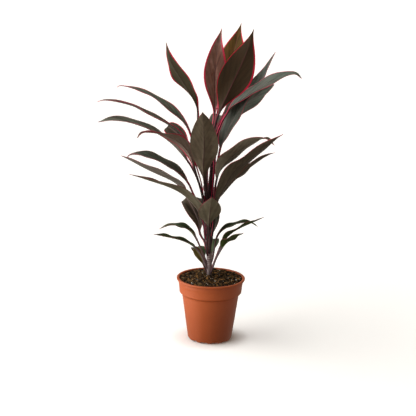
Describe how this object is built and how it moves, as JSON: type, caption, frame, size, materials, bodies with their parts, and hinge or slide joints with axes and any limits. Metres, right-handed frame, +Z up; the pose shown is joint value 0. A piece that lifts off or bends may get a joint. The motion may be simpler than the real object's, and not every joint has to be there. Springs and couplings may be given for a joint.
{
  "type": "potted purple ti plant",
  "caption": "Ti plant: broad maroon and olive leaves on slender petioles up one cane, rooted in soil in a plain tapered plastic nursery pot that stands on its foot.",
  "frame": {"origin": "middle of the flat disc under the pot, on the surface that it stands on", "axes": "+Z up the pot; -Y towards the picture's camera; +X to its right"},
  "size_m": [0.3428, 0.3574, 0.5481],
  "materials": {
    "pot": "satin moulded polypropylene, terracotta colour",
    "soil": "moist peat and bark potting mix with perlite",
    "cane": "ringed with leaf scars",
    "leaf_young": "glossy maroon leaf with crimson margins",
    "leaf_grown": "satin olive and purple leaf with pink margins",
    "leaf_old": "satin green leaf with a thin red margin"
  },
  "bodies": {
    "root": {"pot": "pot", "soil": "soil", "cane": "cane", "leaf_back_high": "leaf_grown", "leaf_crown_back": "leaf_young", "leaf_crown_front": "leaf_young", "leaf_crown_left": "leaf_young", "leaf_front": "leaf_grown", "leaf_left_back": "leaf_grown", "leaf_left_front": "leaf_grown", "leaf_left_high": "leaf_grown", "leaf_left_low": "leaf_grown", "leaf_low_back": "leaf_grown", "leaf_low_back_left": "leaf_old", "leaf_low_back_right": "leaf_old", "leaf_low_green": "leaf_old", "leaf_low_left": "leaf_old", "leaf_low_left_front": "leaf_old", "leaf_low_right": "leaf_old", "leaf_low_right_front": "leaf_old", "leaf_lowest_left": "leaf_old", "leaf_middle_back": "leaf_grown", "leaf_middle_back_left": "leaf_grown", "leaf_middle_front": "leaf_grown", "leaf_middle_left": "leaf_grown", "leaf_middle_left_back": "leaf_grown", "leaf_middle_left_front": "leaf_grown", "leaf_middle_left_low": "leaf_grown", "leaf_middle_right": "leaf_grown", "leaf_middle_right_front": "leaf_grown", "leaf_middle_right_low": "leaf_grown", "leaf_right_high": "leaf_grown", "leaf_upper_back": "leaf_grown", "leaf_upper_left": "leaf_grown", "leaf_upper_left_tall": "leaf_young", "leaf_upper_right": "leaf_grown", "leaf_upper_right_back": "leaf_grown", "leaf_upper_right_tall": "leaf_grown"}
  },
  "joints": []
}
